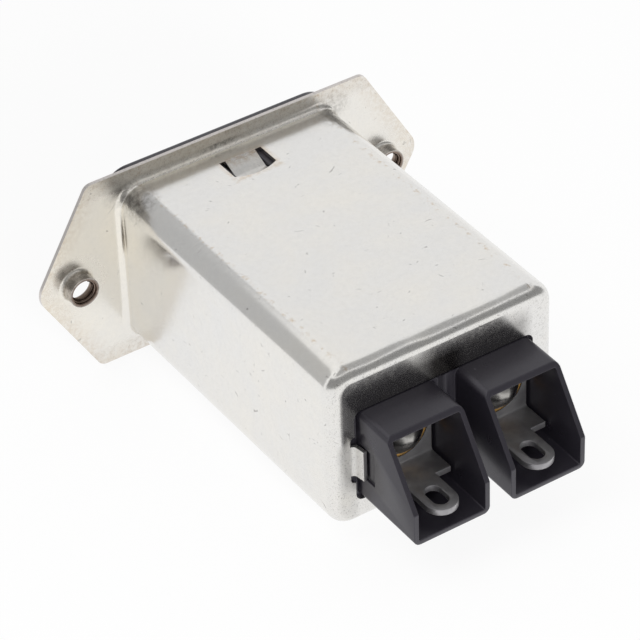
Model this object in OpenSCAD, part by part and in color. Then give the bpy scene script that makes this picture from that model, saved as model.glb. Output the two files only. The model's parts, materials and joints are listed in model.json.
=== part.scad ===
// Panel power inlet with a line filter in a deep drawn steel can.
// Millimetres, +Z up. The origin lies midway between the two screw holes, on the flange's rear face.
// The socket opens towards -Y, and the terminal hoods stand out of the can towards +Y.

/* [Flange] */
// Distance between the two screw holes
hole_pitch = 40; // [39:0.5:44]
// Height of the flange
flange_h = 24.2; // [24:0.1:28]
// Length of the flange's straight top and bottom edges
flange_edge_w = 35.6; // [34:0.2:38]
// Distance from a screw hole to the sharp tip of its ear
ear_reach = 4.86; // [4:0.02:7]
// Rounding of the ear tips
ear_r = 2.5; // [0.5:0.1:4]
// Rounding of the flange's other corners
flange_corner_r = 1.2; // [0.2:0.1:3]
// Nominal diameter of the thread in the collars
screw_d = 3; // [2.5:0.1:3.5]
// Height of the drawn collars behind the flange
collar_h = 1.7; // [1.2:0.1:3]
// Wall of a collar at its rim
collar_wall = 0.3; // [0.2:0.05:0.6]
// Radius of the flare at a collar's foot
collar_flare = 0.45; // [0.2:0.05:0.8]
// Radius at which the sheet turns into a collar, seen on the flange's front
collar_entry = 0.8; // [0.3:0.05:0.9]

/* [Can] */
// Outer width of the can
can_w = 28; // [27.4:0.1:30]
// Outer height of the can
can_h = 20.1; // [19.8:0.1:22]
// Length from the flange's rear face to the can's rear face
can_l = 40.25; // [39.5:0.25:60]
// Thickness of the sheet
sheet_t = 0.45; // [0.4:0.05:0.8]
// Rounding of the four long edges
can_r = 2.6; // [2.2:0.1:4]
// Rounding of the rear edges
rear_r = 1.5; // [1:0.1:2]
// Fillet between the can and the flange
mouth_r = 0.8; // [0.4:0.1:1.2]

/* [Lanced strips] */
// Distance from the flange to a strip
lance_y = 2.3; // [1.6:0.1:4]
// Length of a strip from front to rear
lance_l = 3.1; // [2.4:0.1:5]
// Width of a strip
lance_w = 3.8; // [2:0.1:6]
// Width of the slot at each side of a strip
lance_slot = 0.75; // [0.4:0.05:1.5]
// Depth to which a strip is pressed in
lance_dip = 0.9; // [0.3:0.05:0.95]
// Bow of a strip's rear end
lance_bow = 0.7; // [0.3:0.05:0.9]
// Length of a strip's gentle front ramp
lance_ramp = 2.1; // [1.5:0.1:2.4]
// Length of a strip's steep rear ramp
lance_rise = 0.8; // [0.6:0.05:1]
// Rounding of a strip's bends
lance_bend_r = 0.8; // [0.3:0.1:1]

/* [Rear window and tabs] */
// Gap between the window and the hoods at the sides and below
window_gap = 0.45; // [0.2:0.05:0.6]
// Gap between the window and the hoods above
window_top_gap = 0.12; // [0.05:0.01:0.3]
// Height of a turned-out tab
tab_h = 3.8; // [2:0.1:5]
// Distance that a tab stands out behind the can
tab_l = 1.5; // [1:0.1:2.2]
// Distance of the tabs' middle below the socket's axis
tab_drop = 1.5; // [0:0.1:2.5]
// Lean of a tab into its pocket, in degrees
tab_lean = 8; // [0:1:12]
// Inside radius of a tab's bend
tab_bend_r = 0.5; // [0.2:0.05:0.8]
// Height of the relief notches above and below a tab
relief_h = 1.1; // [0.5:0.1:1.6]

/* [Socket insert] */
// Width of the socket
socket_w = 24.2; // [23.8:0.1:24.6]
// Height of the socket
socket_h = 16.4; // [16:0.1:16.8]
// Depth of the socket behind the bezel's front
socket_depth = 15.6; // [14:0.1:17]
// Cut across the socket's two corners on the earth pin's side
socket_chamfer = 5; // [3:0.1:6]
// Rounding of the socket's other corners
socket_r = 1.5; // [0.3:0.1:2.5]
// Thickness of the socket's rear wall
socket_wall = 2; // [1.5:0.1:3]
// Thickness of the bezel
bezel_t = 2.4; // [1.2:0.1:3]
// Distance of the bezel's edge inside the flange's flat face
bezel_inset = 0.05; // [0:0.05:0.4]
// Rounding of the bezel's front edge
bezel_edge_r = 0.4; // [0.2:0.1:1]

/* [Contact pins] */
// Distance between the line and neutral pins
pin_pitch = 14; // [13:0.1:14.5]
// Height of the earth pin above the other two
earth_rise = 4; // [3.5:0.1:4.5]
// Thickness of a pin
pin_t = 2; // [1.6:0.1:2.4]
// Width of a pin
pin_w = 4; // [3:0.1:4.4]
// Distance from the bezel's front to the tips of the line and neutral pins
pin_recess = 3.6; // [2:0.1:6]
// Distance by which the earth pin reaches further forward
earth_lead = 1.6; // [0.5:0.1:2]
// Bevel at the tip of a pin
pin_bevel = 0.5; // [0.2:0.05:0.7]
// Thickness of the stop shoulder behind the socket's wall
pin_shoulder_t = 0.8; // [0.4:0.1:1.2]
// Reach of the stop shoulder around a pin
pin_shoulder_lap = 0.5; // [0.3:0.1:1]
// Length of a pin's tail behind its shoulder
tail_l = 2.6; // [2:0.1:3]
// Thickness of a pin's tail
tail_t = 1; // [0.8:0.1:1.5]
// Width of a pin's tail
tail_w = 2.4; // [1.6:0.1:3]
// Width of the earth strap
strap_w = 4; // [3.5:0.1:5]
// Thickness of the earth strap
strap_t = 0.5; // [0.3:0.05:0.8]
// Length of the earth strap's foot on the can
strap_foot = 2.6; // [1.5:0.1:3]

/* [Terminal hoods] */
// Height of a hood
hood_h = 11.1; // [10:0.1:11.5]
// Distance of the hoods' middle below the socket's axis
hood_drop = 1.05; // [0:0.05:1.4]
// Length of a hood along its floor
hood_l = 9.7; // [9.5:0.1:14]
// Length of a hood along its roof
hood_roof_l = 4.9; // [3.5:0.1:7]
// Height of a hood's upright rear edge
hood_lip_h = 4; // [2.5:0.1:6]
// Thickness of a hood's walls
hood_wall = 0.6; // [0.5:0.05:0.7]
// Gap between the two hoods
hood_gap = 2.66; // [2:0.02:3]
// Rounding of a hood's outer edges
hood_r = 0.8; // [0.75:0.05:1.2]
// Depth of the tab pockets in the hoods' outer walls
pocket_d = 0.25; // [0.2:0.05:0.4]
// Length of the tab pockets
pocket_l = 2.7; // [2.3:0.1:4]
// Thickness of the block's base inside the can
base_t = 1.8; // [1.2:0.1:2.2]
// Reach of the block's base around the window
base_lap = 1.1; // [0.8:0.1:1.2]

/* [Solder lugs] */
// Width of a lug's base
lug_w = 7.6; // [7.2:0.1:7.8]
// Thickness of a lug
lug_t = 0.75; // [0.5:0.05:0.9]
// Height of a lug's blade above the hood's floor
lug_rise = 1.35; // [0.8:0.05:1.8]
// Gap between the top of a lug and the hood's roof
lug_top_gap = 0.3; // [0.1:0.05:0.6]
// Inside radius of a lug's bend
lug_bend_r = 0.3; // [0.15:0.05:0.6]
// Distance from the can to the shoulders of a blade
lug_shoulder = 4.1; // [3:0.1:5]
// Distance from the can to the tip of a blade
lug_reach = 9.45; // [8.9:0.05:9.6]
// Width of a blade's narrow end
lug_end_w = 3.75; // [3.2:0.05:4.6]
// Width of a blade's eye
eye_w = 1.85; // [1.2:0.05:2.2]
// Length of a blade's eye
eye_l = 3.1; // [2.4:0.05:3.5]
// Radius of a terminal post
post_r = 1; // [0.7:0.05:1.3]
// Height of the posts above the socket's axis
post_rise = 0.4; // [0:0.1:0.6]
// Length of a post inside the can
post_tail = 2.6; // [2.4:0.1:2.8]
// Radius of a solder dome
solder_r = 2.95; // [2.2:0.05:3.1]
// Height of a solder dome
solder_h = 2.2; // [1.6:0.1:2.6]
// Thickness of the solder over a post's end
solder_cover = 0.8; // [0.4:0.1:1.2]

/* [Filter parts] */
// Outer diameter of the choke's core
core_od = 15; // [14.6:0.1:15.6]
// Inner diameter of the choke's core
core_id = 7; // [6:0.1:8]
// Length of the choke's core
core_l = 4.8; // [3.5:0.1:5]
// Diameter of the winding wire
winding_d = 0.8; // [0.6:0.05:0.9]
// Angle that one winding covers
winding_angle = 120; // [90:5:150]
// Number of turns in one winding
turns = 11; // [6:1:14]
// Width of the groove between two turns
turn_groove = 0.25; // [0.1:0.05:0.3]
// Diameter of the connecting wires
wire_d = 1; // [0.8:0.05:1.2]
// Diameter of the capacitors' and the resistor's leads
lead_d = 0.6; // [0.5:0.05:0.8]
// Width of the X capacitor
x_cap_w = 17; // [16:0.1:20]
// Thickness of the X capacitor
x_cap_t = 5.2; // [4:0.1:5.6]
// Height of the X capacitor
x_cap_h = 8; // [6:0.1:8.4]
// Length of the X capacitor's leads
x_cap_lead = 1; // [0.6:0.1:1.4]
// Diameter of a Y capacitor
y_cap_d = 6; // [5:0.1:6.4]
// Thickness of a Y capacitor
y_cap_t = 2.2; // [1.6:0.1:2.4]
// Distance of the Y capacitors' middles from the can's side wall
y_cap_inset = 3.2; // [3.2:0.1:4]
// Distance of the Y capacitors' middles below the socket's axis
y_cap_drop = 4.5; // [4.2:0.1:5.5]
// Diameter of the bleed resistor
resistor_d = 2.4; // [1.8:0.1:3]
// Length of the bleed resistor
resistor_l = 6.5; // [4:0.1:9]
// Distance of the bleed resistor below the feed wires
resistor_drop = 4; // [3:0.1:5]
// Thickness of the insulating sleeve
sleeve_t = 0.35; // [0.2:0.05:0.5]

/* [Fits] */
// Gap between the can and what slides into it
insert_gap = 0.1; // [0.05:0.01:0.15]
// Gap around a strip in its pocket, and a tab in its own
pocket_gap = 0.1; // [0.05:0.01:0.15]
// Gap between a pin and its slot
pin_gap = 0.05; // [0.02:0.01:0.1]
// Gap between a tab and the hood beside it
tab_gap = 0.08; // [0.04:0.01:0.2]
// Gap between a lug and the hood's side walls
lug_gap = 0.3; // [0.1:0.01:0.4]
// Gap between a post and its bores
post_gap = 0.04; // [0.02:0.01:0.1]
// Gap between the core and its windings
core_gap = 0.05; // [0.02:0.01:0.1]
// Free space between neighbouring filter parts along the can
part_gap = 0.8; // [0.6:0.05:1]

/* [Hidden] */
$fn = 64;
overcut = 1;
pin_x = pin_pitch / 2;
earth_z = earth_rise / 2;
live_z = -earth_rise / 2;

// Inside of the can
inner_w = can_w - 2 * sheet_t;
inner_h = can_h - 2 * sheet_t;
inner_r = can_r - sheet_t;
inner_y1 = can_l - sheet_t;
lance_y1 = lance_y + lance_l + lance_bow;
slot_w = lance_w + 2 * lance_slot;
bow_r = (slot_w * slot_w / 4 + lance_bow * lance_bow) / (2 * lance_bow);
bow_y = lance_y1 - bow_r;

// Socket insert
bezel_y0 = -sheet_t - bezel_t;
bezel_w = can_w + 2 * (mouth_r - bezel_inset);
bezel_h = can_h + 2 * (mouth_r - bezel_inset);
bezel_r = can_r + mouth_r - bezel_inset;
socket_y1 = bezel_y0 + socket_depth;
insert_y1 = socket_y1 + socket_wall;
tail_y0 = insert_y1 + pin_shoulder_t;
tail_y1 = tail_y0 + tail_l;

// Hoods and lugs
hood_w = lug_w + 2 * (lug_gap + hood_wall);
hood_x0 = hood_gap / 2;
hood_x1 = hood_x0 + hood_w;
terminal_x = (hood_x0 + hood_x1) / 2;
hood_z0 = -hood_drop - hood_h / 2;
hood_z1 = -hood_drop + hood_h / 2;
hood_y1 = can_l + hood_l;
blade_z0 = hood_z0 + hood_wall + lug_rise;
blade_z1 = blade_z0 + lug_t;
leg_y1 = can_l + lug_t;
leg_z1 = hood_z1 - hood_wall - lug_top_gap;
window_x1 = hood_x1 + window_gap;
window_z0 = hood_z0 - window_gap;
window_z1 = hood_z1 + window_top_gap;
tab_z0 = -tab_drop - tab_h / 2;
tab_bend_x = hood_x1 + tab_gap + sheet_t + tab_bend_r;
base_y0 = inner_y1 - base_t;
post_y0 = base_y0 - post_tail;
post_y1 = leg_y1 + solder_h - solder_cover;

// Filter parts, set out forward from the terminal block
y_cap_y1 = base_y0 - part_gap;
y_cap_y0 = y_cap_y1 - y_cap_t;
y_cap_x = inner_w / 2 - y_cap_inset;
y_cap_z = -y_cap_drop;
y_cap_lead_y = (y_cap_y0 + y_cap_y1) / 2;
winding_y1 = y_cap_y0 - part_gap;
winding_l = core_l + 2 * (core_gap + winding_d);
winding_y0 = winding_y1 - winding_l;
core_y0 = winding_y0 + winding_d + core_gap;
x_cap_y1 = winding_y0 - part_gap;
x_cap_y = x_cap_y1 - x_cap_t / 2;
x_cap_z0 = live_z + wire_d / 2 + x_cap_lead;
sleeve_y0 = tail_y0 + strap_t + strap_foot + part_gap / 2;
sleeve_y1 = winding_y1;

plated_steel = "#d9d7d2";
black_plastic = "#2a282b";
tinned_brass = "#8f8d89";
solder_grey = "#b7b5b1";
nickel = "#c4c2bd";
ferrite = "#3b3a3c";
copper = "#b4652d";
line_brown = "#6b3f22";
neutral_blue = "#2d5a9e";

// Outline tools

function unit(v) = v / norm(v);
function to_last(p, i) = unit(p[(i + len(p) - 1) % len(p)] - p[i]);
function to_next(p, i) = unit(p[(i + 1) % len(p)] - p[i]);
function half_angle(p, i) = acos(to_last(p, i) * to_next(p, i)) / 2;
function round_centre(p, i, r) = p[i] + unit(to_last(p, i) + to_next(p, i)) * r / sin(half_angle(p, i));

// Convex outline with a rounded corner at each point
module round_polygon(p, r) {
    polygon([for (i = [0 : len(p) - 1]) each [
        p[i] + to_last(p, i) * r[i] / tan(half_angle(p, i)),
        p[i] + to_next(p, i) * r[i] / tan(half_angle(p, i))]]);
    for (i = [0 : len(p) - 1])
        translate(round_centre(p, i, r[i])) circle(r[i]);
}

module round_rect(w, h, r) {
    square([w - 2 * r, h], center = true);
    square([w, h - 2 * r], center = true);
    for (sx = [-1, 1], sy = [-1, 1])
        translate([sx * (w / 2 - r), sy * (h / 2 - r)]) circle(r);
}

module ring(r0, r1) {
    difference() {
        circle(r1);
        circle(r0);
    }
}

// Prism between two depths, from an outline in X and Z
module slab(y0, y1) {
    translate([0, y1, 0]) rotate([90, 0, 0]) linear_extrude(y1 - y0) children();
}

// Prism centred on X, from an outline in Y and Z
module beam(w) {
    rotate([90, 0, 90]) linear_extrude(w, center = true) children();
}

// Turned shape with its axis along Y, from an outline in radius and depth
module turned(angle = 360) {
    rotate([-90, 0, 0]) rotate_extrude(angle = angle) children();
}

// Sweeps a section around a rounded rectangle; the section's X starts at the corners' axes
module swept(w, h, r) {
    for (k = [0 : 3]) {
        out = (k % 2 == 0 ? w : h) / 2 - r;
        run = (k % 2 == 0 ? h : w) - 2 * r;
        rotate([0, 90 * k, 0]) translate([out, 0, 0]) {
            linear_extrude(run, center = true) children();
            translate([0, 0, -run / 2]) turned(90) children();
        }
    }
}

module rod(p, q, d) {
    v = q - p;
    translate(p) rotate([0, acos(v[2] / norm(v)), atan2(v[1], v[0])]) cylinder(h = norm(v), d = d);
}

// Wire through a few points, with round elbows
module bent_wire(p, d) {
    for (i = [1 : len(p) - 1]) rod(p[i - 1], p[i], d);
    if (len(p) > 2)
        for (i = [1 : len(p) - 2]) translate(p[i]) sphere(d = d);
}

// Places a shape at the line side, or turned over to the neutral side
module on_side(side) {
    mirror([side < 0 ? 1 : 0, 0, 0]) children();
}

// Can

module flange_outline() {
    tip_x = hole_pitch / 2 + ear_reach;
    edge_x = flange_edge_w / 2;
    top = flange_h / 2;
    round_polygon(
        [[tip_x, 0], [edge_x, top], [-edge_x, top], [-tip_x, 0], [-edge_x, -top], [edge_x, -top]],
        [ear_r, flange_corner_r, flange_corner_r, ear_r, flange_corner_r, flange_corner_r]);
}

// Section of the drawn sheet, from the flare at the mouth to the rear face
module can_section() {
    translate([can_r + mouth_r, mouth_r]) intersection() {
        ring(mouth_r, mouth_r + sheet_t);
        translate([-mouth_r - sheet_t, -mouth_r - sheet_t]) square(mouth_r + sheet_t);
    }
    translate([inner_r, mouth_r]) square([sheet_t, can_l - mouth_r - rear_r]);
    translate([can_r - rear_r, can_l - rear_r]) intersection() {
        ring(rear_r - sheet_t, rear_r);
        square(rear_r);
    }
    translate([0, inner_y1]) square([can_r - rear_r, sheet_t]);
}

module can_shell() {
    slab(-sheet_t, 0) difference() {
        flange_outline();
        round_rect(can_w + 2 * mouth_r, can_h + 2 * mouth_r, can_r + mouth_r);
    }
    swept(can_w, can_h, can_r) can_section();
    slab(inner_y1, can_l) square([can_w - 2 * can_r, can_h - 2 * can_r], center = true);
}

module collar() {
    rim_r = screw_d / 2 + collar_wall;
    turned() {
        square([rim_r, collar_h]);
        translate([rim_r, 0]) difference() {
            square(collar_flare);
            translate([collar_flare, collar_flare]) circle(collar_flare);
        }
    }
}

module collar_bore() {
    bore_r = screw_d / 2;
    turned() {
        translate([0, -sheet_t - overcut]) square([bore_r, sheet_t + collar_h + 2 * overcut]);
        translate([bore_r, -sheet_t]) difference() {
            square(collar_entry);
            translate([collar_entry, collar_entry]) circle(collar_entry);
        }
    }
}

// Slots beside a strip, and the bowed edge behind it
module lance_cut() {
    translate([0, 0, can_h / 2 - sheet_t - overcut]) linear_extrude(sheet_t + 2 * overcut)
        intersection() {
            translate([0, bow_y]) circle(bow_r);
            translate([-slot_w / 2, lance_y]) square([slot_w, lance_y1 - lance_y + overcut]);
        }
}

// Punch that presses a strip: a gentle straight ramp in front, and a steep ramp round the bow behind
module lance_punch() {
    top = can_h / 2 + lance_dip;
    bottom = can_h / 2 - lance_dip;
    small_r = lance_bend_r / 10;
    intersection() {
        beam(slot_w) round_polygon(
            [[lance_y - lance_ramp, top], [lance_y + lance_ramp, bottom],
                [lance_y1 + lance_rise, bottom], [lance_y1 + lance_rise, top]],
            [small_r, lance_bend_r, small_r, small_r]);
        translate([0, bow_y, 0]) rotate_extrude() round_polygon(
            [[0, bottom], [bow_r - lance_rise, bottom], [bow_r + lance_rise, top], [0, top]],
            [small_r, lance_bend_r, small_r, small_r]);
    }
}

module lance_strip() {
    bottom = can_h / 2 - lance_dip - sheet_t;
    intersection() {
        difference() {
            translate([0, 0, -sheet_t]) lance_punch();
            lance_punch();
        }
        translate([-lance_w / 2, lance_y, bottom])
            cube([lance_w, lance_y1 - lance_y + overcut, can_h / 2 - bottom]);
        translate([0, bow_y, 0]) cylinder(h = can_h, r = bow_r);
    }
}

module window_cut() {
    w = 2 * window_x1;
    h = window_z1 - window_z0;
    translate([0, 0, (window_z0 + window_z1) / 2])
        slab(inner_y1 - overcut, can_l + overcut) round_rect(w, h, hood_r + window_top_gap);
    notch_h = tab_h + 2 * relief_h;
    translate([0, 0, -tab_drop])
        slab(inner_y1 - overcut, can_l + overcut) round_rect(2 * tab_bend_x, notch_h, relief_h / 2);
}

// Tab turned out of the rear face beside the window, leaning into the hood's pocket
module tab() {
    reach = tab_bend_r + sheet_t + overcut;
    translate([tab_bend_x, can_l + tab_bend_r, tab_z0]) linear_extrude(tab_h) {
        intersection() {
            ring(tab_bend_r, tab_bend_r + sheet_t);
            polygon([[0, 0], [-reach, -reach * tan(tab_lean)], [-reach, -reach], [0, -reach]]);
        }
        rotate(tab_lean) translate([-tab_bend_r - sheet_t, 0]) square([sheet_t, tab_l - tab_bend_r]);
    }
}

module filter_can() {
    color(plated_steel) {
        difference() {
            union() {
                can_shell();
                for (side = [-1, 1]) translate([side * hole_pitch / 2, 0, 0]) collar();
            }
            for (side = [-1, 1]) translate([side * hole_pitch / 2, 0, 0]) collar_bore();
            for (turn = [0, 180]) rotate([0, turn, 0]) lance_cut();
            window_cut();
        }
        for (turn = [0, 180]) rotate([0, turn, 0]) lance_strip();
        for (side = [-1, 1]) on_side(side) tab();
    }
}

// Socket insert and pins

module socket_outline() {
    x = socket_w / 2;
    z = socket_h / 2;
    cut = socket_chamfer;
    round_polygon(
        [[x, -z], [x, z - cut], [x - cut, z], [cut - x, z], [-x, z - cut], [-x, -z]],
        [for (r = [1, 0.5, 0.5, 0.5, 0.5, 1]) r * socket_r]);
}

module bezel() {
    swept(bezel_w, bezel_h, bezel_r) {
        translate([0, bezel_y0 + bezel_edge_r]) square([bezel_r, bezel_t - bezel_edge_r]);
        translate([0, bezel_y0]) square([bezel_r - bezel_edge_r, bezel_t]);
        translate([bezel_r - bezel_edge_r, bezel_y0 + bezel_edge_r]) circle(bezel_edge_r);
    }
    slab(bezel_y0, -sheet_t) square([bezel_w - 2 * bezel_r, bezel_h - 2 * bezel_r], center = true);
}

// Shoulder behind the bezel that seats in the flare of the can's mouth
module mouth_shoulder() {
    flare_r = mouth_r + sheet_t;
    swept(can_w, can_h, can_r) difference() {
        translate([0, -sheet_t]) square([bezel_r, flare_r]);
        translate([can_r + mouth_r, mouth_r]) circle(flare_r + insert_gap);
    }
}

module strip_pocket() {
    w = lance_w + 2 * pocket_gap;
    floor_z = can_h / 2 - sheet_t - lance_dip - pocket_gap;
    l = lance_y1 - lance_y + 2 * pocket_gap;
    translate([-w / 2, lance_y - pocket_gap, floor_z]) cube([w, l, can_h / 2 - floor_z]);
}

module inlet_body() {
    color(black_plastic) difference() {
        union() {
            bezel();
            mouth_shoulder();
            slab(-sheet_t, insert_y1)
                round_rect(inner_w - 2 * insert_gap, inner_h - 2 * insert_gap, inner_r - insert_gap);
        }
        slab(bezel_y0 - overcut, socket_y1) socket_outline();
        for (at = [[-pin_x, live_z], [pin_x, live_z], [0, earth_z]])
            slab(socket_y1 - overcut, insert_y1 + overcut)
                translate(at) square([pin_t + 2 * pin_gap, pin_w + 2 * pin_gap], center = true);
        for (turn = [0, 180]) rotate([0, turn, 0]) strip_pocket();
    }
}

// Flat contact pin, bevelled at its tip, with a stop shoulder and a tail
module pin(tip_y) {
    intersection() {
        linear_extrude(pin_w, center = true) blade_outline(pin_t, tip_y);
        rotate([0, 90, 0]) linear_extrude(pin_t, center = true) blade_outline(pin_w, tip_y);
    }
    slab(insert_y1, tail_y0)
        square([pin_t + 2 * pin_shoulder_lap, pin_w + 2 * pin_shoulder_lap], center = true);
    slab(tail_y0, tail_y1) square([tail_t, tail_w], center = true);
}

module blade_outline(w, tip_y) {
    polygon([
        [-w / 2, insert_y1], [-w / 2, tip_y + pin_bevel], [pin_bevel - w / 2, tip_y],
        [w / 2 - pin_bevel, tip_y], [w / 2, tip_y + pin_bevel], [w / 2, insert_y1]]);
}

module line_pin() {
    color(nickel) translate([pin_x, 0, live_z]) pin(bezel_y0 + pin_recess);
}

module neutral_pin() {
    color(nickel) translate([-pin_x, 0, live_z]) pin(bezel_y0 + pin_recess);
}

module earth_pin() {
    color(nickel) translate([0, 0, earth_z]) pin(bezel_y0 + pin_recess - earth_lead);
}

// Strap from the earth pin's tail up to the can
module earth_strap() {
    top = inner_h / 2;
    bottom = earth_z - pin_w / 2;
    color(nickel) difference() {
        union() {
            translate([-strap_w / 2, tail_y0, bottom]) cube([strap_w, strap_t, top - bottom]);
            translate([-strap_w / 2, tail_y0, top - strap_t])
                cube([strap_w, strap_t + strap_foot, strap_t]);
        }
        slab(tail_y0 - overcut, tail_y0 + strap_t + overcut) translate([0, earth_z])
            square([tail_t + 2 * pin_gap, tail_w + 2 * pin_gap], center = true);
    }
}

// Terminal block, lugs and posts

module hood_outline(inset) {
    r = inset > 0 ? hood_r - inset : hood_r;
    translate([terminal_x, -hood_drop]) round_rect(hood_w - 2 * inset, hood_h - 2 * inset, r);
}

module hood() {
    difference() {
        slab(can_l, hood_y1) hood_outline(0);
        slab(can_l, hood_y1 + overcut) hood_outline(hood_wall);
        translate([terminal_x, can_l, 0]) beam(hood_w + 2 * overcut) polygon([
            [hood_roof_l, hood_z1], [hood_l, hood_z0 + hood_lip_h],
            [hood_l + overcut, hood_z0 + hood_lip_h],
            [hood_l + overcut, hood_z1 + overcut], [hood_roof_l, hood_z1 + overcut]]);
        translate([hood_x1 - pocket_d, can_l - overcut, tab_z0 - pocket_gap])
            cube([pocket_d + overcut, pocket_l + overcut, tab_h + 2 * pocket_gap]);
    }
}

module post_bore(y0, y1) {
    slab(y0 - overcut, y1 + overcut) translate([terminal_x, post_rise]) circle(post_r + post_gap);
}

module terminal_block() {
    base_w = 2 * (window_x1 + base_lap);
    base_h = window_z1 - window_z0 + 2 * base_lap;
    color(black_plastic) {
        difference() {
            union() {
                translate([0, 0, (window_z0 + window_z1) / 2])
                    slab(base_y0, inner_y1) round_rect(base_w, base_h, hood_r);
                translate([0, 0, -hood_drop]) slab(inner_y1, can_l) round_rect(2 * hood_x1, hood_h, hood_r);
            }
            for (side = [-1, 1]) on_side(side) post_bore(base_y0, can_l);
        }
        for (side = [-1, 1]) on_side(side) hood();
    }
}

// Blade in plan: a wide base with shoulders, and a narrow round end with an oval eye
module blade_plan() {
    end_y = lug_reach - lug_end_w / 2;
    eye_run = eye_l - eye_w;
    difference() {
        union() {
            translate([-lug_w / 2, lug_t + lug_bend_r]) square([lug_w, lug_shoulder - lug_t - lug_bend_r]);
            translate([-lug_end_w / 2, lug_shoulder]) square([lug_end_w, end_y - lug_shoulder]);
            translate([0, end_y]) circle(lug_end_w / 2);
        }
        translate([0, end_y - eye_run / 2]) square([eye_w, eye_run], center = true);
        for (y = [end_y - eye_run, end_y]) translate([0, y]) circle(eye_w / 2);
    }
}

// Lug with its leg on the block's base and its blade above the hood's floor
module lug() {
    bend_z = blade_z1 + lug_bend_r;
    translate([terminal_x, can_l, 0]) {
        difference() {
            beam(lug_w) translate([0, bend_z]) square([lug_t, leg_z1 - bend_z]);
            translate([-terminal_x, -can_l, 0]) post_bore(can_l, leg_y1);
        }
        beam(lug_w) translate([lug_t + lug_bend_r, bend_z]) intersection() {
            ring(lug_bend_r, lug_bend_r + lug_t);
            translate([-lug_bend_r - lug_t, -lug_bend_r - lug_t]) square(lug_bend_r + lug_t);
        }
        translate([0, 0, blade_z0]) linear_extrude(lug_t) blade_plan();
    }
}

module line_lug() {
    color(tinned_brass) lug();
}

module neutral_lug() {
    color(tinned_brass) on_side(-1) lug();
}

module post() {
    rod([terminal_x, post_y0, post_rise], [terminal_x, post_y1, post_rise], 2 * post_r);
}

module line_post() {
    color(nickel) post();
}

module neutral_post() {
    color(nickel) on_side(-1) post();
}

// Dome of solder round and over the post, on the lug's leg
module solder_dome() {
    ball_r = (solder_r * solder_r + solder_h * solder_h) / (2 * solder_h);
    translate([terminal_x, leg_y1, post_rise]) turned() intersection() {
        translate([0, solder_h - ball_r]) circle(ball_r);
        difference() {
            square([solder_r, solder_h]);
            square([post_r, solder_h - solder_cover]);
        }
    }
}

module line_solder() {
    color(solder_grey) solder_dome();
}

module neutral_solder() {
    color(solder_grey) on_side(-1) solder_dome();
}

// Filter parts

module choke_core() {
    color(ferrite) turned() translate([core_id / 2, core_y0]) square([(core_od - core_id) / 2, core_l]);
}

// Section around the core, grown by a distance
module around_core(grow) {
    translate([core_id / 2 - grow, core_y0 - grow])
        square([(core_od - core_id) / 2 + 2 * grow, core_l + 2 * grow]);
}

// Half of the choke's winding, with a groove between each two turns
module winding() {
    step = winding_angle / turns;
    difference() {
        rotate([0, -winding_angle / 2, 0]) turned(winding_angle) difference() {
            around_core(core_gap + winding_d);
            around_core(core_gap);
        }
        for (i = [1 : turns - 1])
            rotate([0, i * step - winding_angle / 2, 0])
                linear_extrude(turn_groove, center = true) difference() {
                    around_core(core_gap + winding_d + overcut);
                    around_core(core_gap + winding_d / 2);
                }
    }
}

module line_winding() {
    color(copper) winding();
}

module neutral_winding() {
    color(copper) on_side(-1) winding();
}

module x_capacitor() {
    color("#b8babd") {
        translate([-x_cap_w / 2, x_cap_y - x_cap_t / 2, x_cap_z0]) cube([x_cap_w, x_cap_t, x_cap_h]);
        for (x = [-pin_x, pin_x]) rod([x, x_cap_y, live_z + wire_d / 2], [x, x_cap_y, x_cap_z0], lead_d);
    }
}

// Disc capacitor with one lead on the post and one on the can
module y_capacitor() {
    rod([y_cap_x, y_cap_y0, y_cap_z], [y_cap_x, y_cap_y1, y_cap_z], y_cap_d);
    bent_wire([
        [terminal_x + post_r, y_cap_lead_y, post_rise], [y_cap_x, y_cap_lead_y, post_rise],
        [y_cap_x, y_cap_lead_y, y_cap_z]], lead_d);
    rod([y_cap_x, y_cap_lead_y, -inner_h / 2], [y_cap_x, y_cap_lead_y, y_cap_z], lead_d);
}

module line_y_capacitor() {
    color("#3f6fae") y_capacitor();
}

module neutral_y_capacitor() {
    color("#3f6fae") on_side(-1) y_capacitor();
}

module bleed_resistor() {
    z = live_z - resistor_drop;
    color("#c9b58c") {
        rod([-resistor_l / 2, x_cap_y, z], [resistor_l / 2, x_cap_y, z], resistor_d);
        bent_wire([
            [-pin_x, x_cap_y, live_z - wire_d / 2], [-pin_x, x_cap_y, z],
            [pin_x, x_cap_y, z], [pin_x, x_cap_y, live_z - wire_d / 2]], lead_d);
    }
}

module feed_wire() {
    rod([pin_x, tail_y1, live_z], [pin_x, winding_y0, live_z], wire_d);
}

module line_feed_wire() {
    color(line_brown) feed_wire();
}

module neutral_feed_wire() {
    color(neutral_blue) on_side(-1) feed_wire();
}

module out_wire() {
    rod([terminal_x, winding_y1, post_rise], [terminal_x, post_y0, post_rise], wire_d);
}

module line_out_wire() {
    color(line_brown) out_wire();
}

module neutral_out_wire() {
    color(neutral_blue) on_side(-1) out_wire();
}

module insulating_sleeve() {
    w = inner_w - 2 * insert_gap;
    h = inner_h - 2 * insert_gap;
    r = inner_r - insert_gap;
    color("#c9c2ae") slab(sleeve_y0, sleeve_y1) difference() {
        round_rect(w, h, r);
        round_rect(w - 2 * sleeve_t, h - 2 * sleeve_t, r - sleeve_t);
    }
}

filter_can();
inlet_body();
line_pin();
neutral_pin();
earth_pin();
earth_strap();
terminal_block();
line_lug();
neutral_lug();
line_post();
neutral_post();
line_solder();
neutral_solder();
choke_core();
line_winding();
neutral_winding();
x_capacitor();
line_y_capacitor();
neutral_y_capacitor();
bleed_resistor();
line_feed_wire();
neutral_feed_wire();
line_out_wire();
neutral_out_wire();
insulating_sleeve();
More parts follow.
